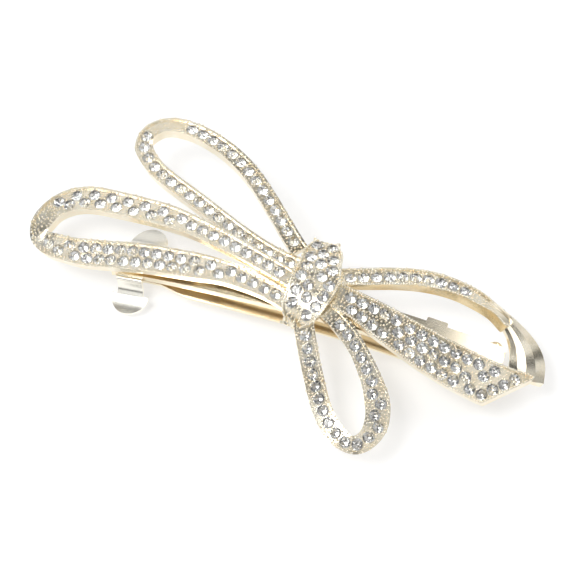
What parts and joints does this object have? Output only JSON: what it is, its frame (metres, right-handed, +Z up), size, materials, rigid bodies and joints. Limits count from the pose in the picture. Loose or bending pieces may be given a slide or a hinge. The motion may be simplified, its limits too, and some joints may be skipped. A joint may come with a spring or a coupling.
{
  "type": "rhinestone hair clip",
  "caption": "Bow-shaped cast hair clip set with round clear stones, on a French barrette clasp with a hinged closing arm and a squeeze latch.",
  "frame": {"origin": "on the surface the clip lies on, under the middle of the clasp's length and width", "axes": "+X along the clasp from the latch to the hinge, +Y across it towards the tall upper loop, +Z up out of the face of the bow"},
  "size_m": [0.092, 0.0495, 0.0138],
  "materials": {
    "cast_gold": "pale champagne-gold plated casting, polished with beaded rims",
    "crystal": "clear faceted foil-backed round stones",
    "plated_sheet": "polished pale gold plated steel sheet",
    "latch_metal": "polished pale gold plated spring steel",
    "spring_leaf": "plated spring steel strip",
    "pin_metal": "plated pin and rivet",
    "solder": "dull solder"
  },
  "bodies": {
    "clasp_and_bow": {"base_plate": "plated_sheet", "latch_bridge": "latch_metal", "latch_rivet": "pin_metal", "hinge_pin": "pin_metal", "solder_pads": "solder", "knot": "cast_gold", "loop_lower_left": "cast_gold", "loop_lower_right": "cast_gold", "loop_upper_left": "cast_gold", "loop_upper_right": "cast_gold", "tail": "cast_gold", "stones_knot": "crystal", "stones_lower_left": "crystal", "stones_lower_right": "crystal", "stones_upper_left": "crystal", "stones_upper_right": "crystal", "stones_tail": "crystal"},
    "arm": {"closing_arm": "plated_sheet"},
    "wing_front": {"latch_wing_front": "latch_metal"},
    "wing_back": {"latch_wing_back": "latch_metal"},
    "spring": {"tension_spring": "spring_leaf"}
  },
  "joints": [
    {"name": "arm_hinge", "type": "hinge", "parent": "clasp_and_bow", "child": "arm", "pos_m": [0.0305, 0, 0.0029], "axis": [0, -1, 0], "range_deg": [0, 90]},
    {"name": "wing_front_squeeze", "type": "hinge", "parent": "clasp_and_bow", "child": "wing_front", "pos_m": [-0.03289, -0.0032, 0.00402], "axis": [0.9753, 0, 0.2207], "range_deg": [0, 11], "stiffness_Nm_per_rad": 0.05},
    {"name": "wing_back_squeeze", "type": "hinge", "parent": "clasp_and_bow", "child": "wing_back", "pos_m": [-0.03289, 0.0032, 0.00402], "axis": [-0.9753, 0, -0.2207], "range_deg": [0, 11], "stiffness_Nm_per_rad": 0.05},
    {"name": "tension_spring_flex", "type": "hinge", "parent": "clasp_and_bow", "child": "spring", "pos_m": [0.0245, 0, 0.00575], "axis": [0, 1, 0], "range_deg": [0, 1.6], "stiffness_Nm_per_rad": 0.2}
  ]
}
